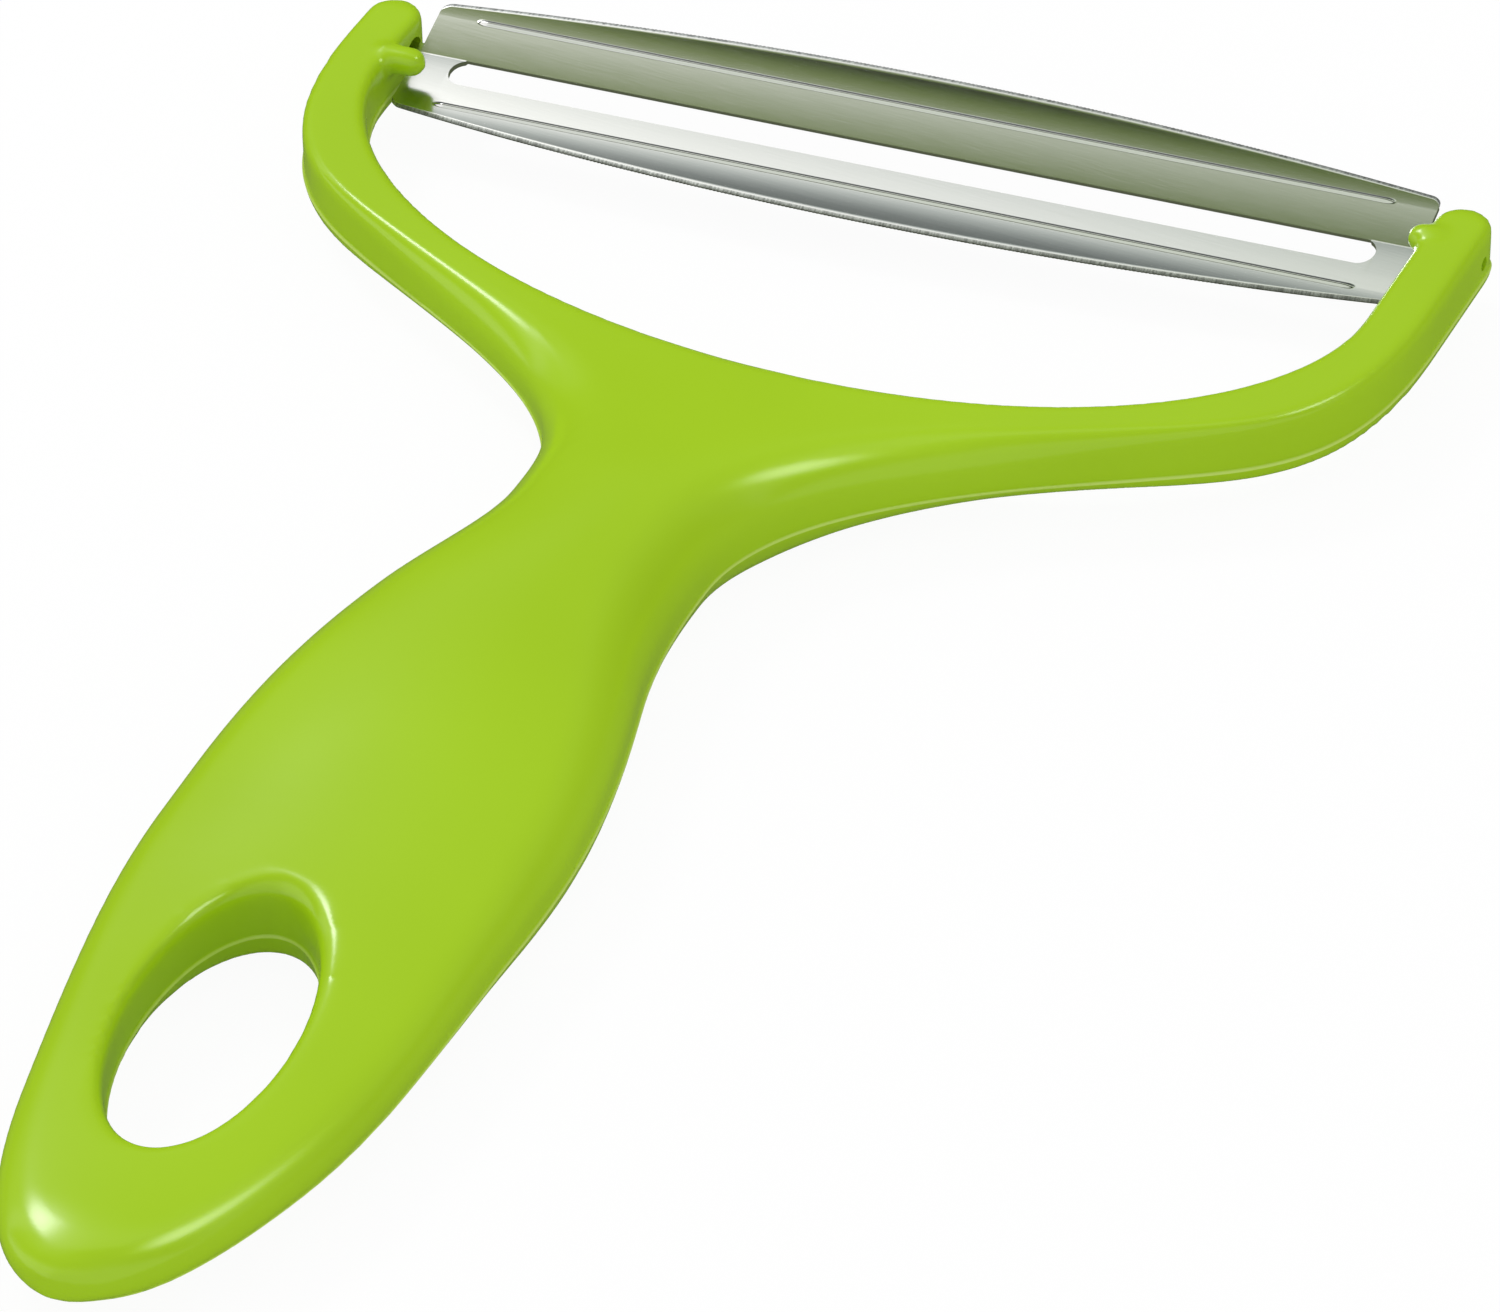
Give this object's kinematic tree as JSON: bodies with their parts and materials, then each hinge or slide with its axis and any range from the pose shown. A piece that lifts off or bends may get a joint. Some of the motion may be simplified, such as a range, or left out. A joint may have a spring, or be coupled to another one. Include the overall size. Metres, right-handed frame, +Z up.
{
  "type": "wide swivel peeler",
  "caption": "Wide Y-shaped vegetable peeler: moulded plastic handle and yoke with a hanging hole, and a pressed steel blade that swivels between the arms.",
  "frame": {"origin": "middle of the bounding box, at the height of the flat underside of the handle", "axes": "+Y along the handle towards the blade, +X across the yoke, +Z up from the flat underside"},
  "size_m": [0.1154, 0.1872, 0.0144],
  "materials": {
    "plastic": "glossy moulded lime green",
    "steel": "bright pressed stainless sheet with ground edges"
  },
  "bodies": {
    "frame": {"handle_frame": "plastic"},
    "blade": {"blade": "steel"}
  },
  "joints": [
    {"name": "blade_swivel", "type": "hinge", "parent": "frame", "child": "blade", "pos_m": [0, 0.08297, 0.0064], "axis": [0.9953, 0.0969, 0], "range_deg": [-19, 42]}
  ]
}
